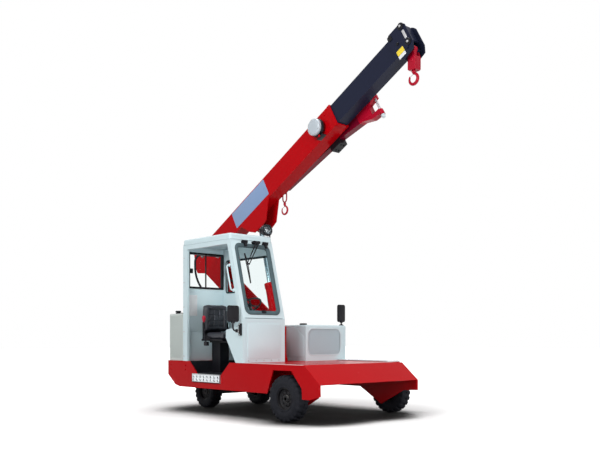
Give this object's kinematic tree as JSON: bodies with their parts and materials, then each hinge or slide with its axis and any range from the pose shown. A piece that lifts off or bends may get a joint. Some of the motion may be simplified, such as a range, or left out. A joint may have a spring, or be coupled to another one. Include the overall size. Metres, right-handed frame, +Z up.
{
  "type": "pick and carry crane",
  "caption": "Small pick and carry crane: low chassis, steered rear wheels, leaning mast, two-stage luffing boom with hook, open-sided cab on the right.",
  "frame": {"origin": "on the ground at the centre of the bounding box", "axes": "+X forward, towards the nose and the boom's head; +Y to the driver's left; +Z up"},
  "size_m": [4.6271, 2.357, 4.9597],
  "materials": {
    "red_paint": "gloss",
    "white_paint": "gloss",
    "grey_paint": "satin",
    "navy_paint": "satin",
    "maroon_paint": "satin",
    "black_paint": "satin",
    "tread_alu": "brushed",
    "cast": "rough",
    "tyre_rubber": "matte",
    "hose_rubber": "matte",
    "clear_glass": "clear",
    "seat_vinyl": "matte",
    "steel": "machined",
    "chrome_rod": "polished",
    "black_plastic": "matte"
  },
  "bodies": {
    "vehicle": {"wheel_motors": "cast", "rear_axle": "black_paint", "side_skirt_right": "red_paint", "side_skirt_left": "red_paint", "chassis_frame": "red_paint", "nose_panel": "red_paint", "deck_plate": "red_paint", "front_deck": "red_paint", "counterweight": "red_paint", "step_plate": "tread_alu", "fender_tread": "tread_alu", "cab_floor": "black_paint", "mast": "red_paint", "boom_pivot_pin": "steel", "lift_base_pin": "steel", "engine_hood": "white_paint", "hood_grille": "grey_paint", "engine_block": "cast", "hydraulic_tank": "grey_paint", "tank_cap": "black_plastic", "return_hose": "hose_rubber", "cab_side_frame": "white_paint", "cab_rear_wall": "white_paint", "rear_glass": "clear_glass", "cab_left_wall": "white_paint", "left_glass": "clear_glass", "cab_front_panel": "white_paint", "windscreen": "clear_glass", "cab_roof": "white_paint", "wiper": "black_plastic", "work_lamp": "black_plastic", "seat_pedestal": "black_paint", "seat_cushion": "seat_vinyl", "seat_backrest": "seat_vinyl", "steering_console": "black_plastic", "steering_wheel": "black_plastic", "mirror_right": "black_plastic", "mirror_left": "black_plastic"},
    "front_wheel_right": {"front_tyre_right": "tyre_rubber", "front_rim_right": "black_paint"},
    "front_wheel_left": {"front_tyre_left": "tyre_rubber", "front_rim_left": "black_paint"},
    "steer_right": {"knuckle_right": "cast"},
    "steer_left": {"knuckle_left": "cast"},
    "rear_wheel_right": {"rear_tyre_right": "tyre_rubber", "rear_rim_right": "black_paint"},
    "rear_wheel_left": {"rear_tyre_left": "tyre_rubber", "rear_rim_left": "black_paint"},
    "boom": {"boom_outer": "red_paint", "stowed_jib": "maroon_paint", "jib_clamp": "black_paint", "cable_reel": "tread_alu"},
    "telescope": {"boom_inner": "navy_paint", "boom_head": "navy_paint"},
    "hoist_hook": {"hook_block": "maroon_paint", "hook": "red_paint"},
    "small_hook": {"jib_hook": "red_paint"},
    "cylinder_barrel": {"lift_barrel": "red_paint"},
    "cylinder_rod": {"lift_rod": "chrome_rod"}
  },
  "joints": [
    {"name": "front_wheel_right_spin", "type": "hinge", "parent": "vehicle", "child": "front_wheel_right", "pos_m": [1.0078, -0.8745, 0.3], "axis": [0, 1, 0], "continuous": true},
    {"name": "front_wheel_left_spin", "type": "hinge", "parent": "vehicle", "child": "front_wheel_left", "pos_m": [1.0078, 1.0835, 0.3], "axis": [0, 1, 0], "continuous": true},
    {"name": "steer_right", "type": "hinge", "parent": "vehicle", "child": "steer_right", "pos_m": [-1.3922, -0.2255, 0.25], "axis": [0, 0, 1], "range_deg": [-50, 50]},
    {"name": "steer_left", "type": "hinge", "parent": "vehicle", "child": "steer_left", "pos_m": [-1.3922, 0.4345, 0.25], "axis": [0, 0, 1], "range_deg": [-50, 50]},
    {"name": "rear_wheel_right_spin", "type": "hinge", "parent": "steer_right", "child": "rear_wheel_right", "pos_m": [-1.3922, -0.3955, 0.25], "axis": [0, 1, 0], "continuous": true},
    {"name": "rear_wheel_left_spin", "type": "hinge", "parent": "steer_left", "child": "rear_wheel_left", "pos_m": [-1.3922, 0.6045, 0.25], "axis": [0, 1, 0], "continuous": true},
    {"name": "boom_luff", "type": "hinge", "parent": "vehicle", "child": "boom", "pos_m": [-2.0422, 0.1045, 2.42], "axis": [0, -1, 0], "range_deg": [-24.3, 25.7]},
    {"name": "boom_telescope", "type": "slide", "parent": "boom", "child": "telescope", "axis": [0.8721, 0, 0.4894], "range_m": [-0.35, 1]},
    {"name": "hook_swing", "type": "hinge", "parent": "telescope", "child": "hoist_hook", "pos_m": [2.22203, 0.1045, 4.6295], "axis": [0, 1, 0], "range_deg": [-30, 30]},
    {"name": "small_hook_swing", "type": "hinge", "parent": "boom", "child": "small_hook", "pos_m": [-0.40387, 0.2945, 3.27059], "axis": [0, 1, 0], "range_deg": [-30, 30]},
    {"name": "cylinder_lean", "type": "hinge", "parent": "vehicle", "child": "cylinder_barrel", "pos_m": [-0.2142, 0.1045, 0.62], "axis": [0, -1, 0], "range_deg": [-1, 1]},
    {"name": "cylinder_stroke", "type": "slide", "parent": "cylinder_barrel", "child": "cylinder_rod", "axis": [-0.2407, 0, 0.9706], "range_m": [-0.56, 0.59]}
  ],
  "couplings": [
    {"joint": "steer_left", "follows": "steer_right", "ratio": 1},
    {"joint": "cylinder_lean", "follows": "boom_luff", "ratio": 0.0184},
    {"joint": "cylinder_stroke", "follows": "boom_luff", "m_per_rad": 1.298}
  ]
}
